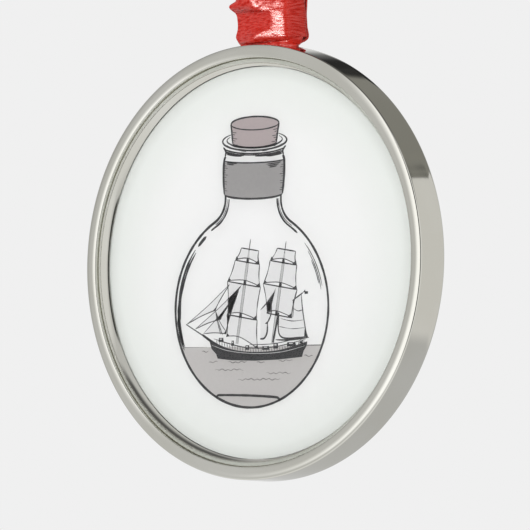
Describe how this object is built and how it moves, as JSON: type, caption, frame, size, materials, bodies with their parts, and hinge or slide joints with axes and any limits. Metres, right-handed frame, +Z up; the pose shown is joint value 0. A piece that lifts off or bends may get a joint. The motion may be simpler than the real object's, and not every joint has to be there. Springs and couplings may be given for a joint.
{
  "type": "hanging picture ornament",
  "caption": "Round polished metal hanging ornament on a red satin ribbon; its glossy white face carries a printed ship in a corked bottle.",
  "frame": {"origin": "inside the top of the ribbon loop, where a hook carries the ornament", "axes": "+Z up, +X to the right, and the printed face looks along -Y"},
  "size_m": [0.0578, 0.0086, 0.1147],
  "materials": {
    "plated_metal": "polished, silver-coloured, over cast alloy",
    "face_metal": "plain sheet, hidden under the white coat",
    "adhesive": "thin foam or film adhesive, hidden",
    "white_coating": "smooth white coat",
    "clear_coating": "clear, high gloss",
    "ink_dark": "dark grey ink",
    "ink_cork": "warm grey ink",
    "ink_band": "mid grey ink",
    "ink_sea": "light grey ink",
    "ink_sail": "very light grey ink",
    "ink_wave": "thin mid grey ink lines",
    "ribbon_satin": "red woven satin ribbon"
  },
  "bodies": {
    "hanger": {"ribbon_knot": "ribbon_satin", "ribbon_left_tail": "ribbon_satin", "ribbon_right_tail": "ribbon_satin", "ribbon_front_loop": "ribbon_satin", "ribbon_rear_loop": "ribbon_satin"},
    "lower_ribbon": {"ribbon_front_strand": "ribbon_satin", "ribbon_rear_strand": "ribbon_satin"},
    "ornament": {"frame": "plated_metal", "adhesive_pad": "adhesive", "face_disc": "face_metal", "white_base": "white_coating", "print_sea": "ink_sea", "print_cork": "ink_cork", "print_neck_band": "ink_band", "print_sails": "ink_sail", "print_bottle": "ink_dark", "print_hull": "ink_dark", "print_rigging": "ink_dark", "print_waves": "ink_wave", "clear_coat": "clear_coating", "ribbon_wrap": "ribbon_satin"}
  },
  "joints": [
    {"name": "ribbon_twist", "type": "hinge", "parent": "hanger", "child": "lower_ribbon", "pos_m": [0, 0, -0.02835], "axis": [0, 0, 1], "range_deg": [-90, 90]},
    {"name": "ornament_swing", "type": "hinge", "parent": "lower_ribbon", "child": "ornament", "pos_m": [0, -0.0002, -0.037], "axis": [1, 0, 0], "range_deg": [-45, 45]}
  ]
}
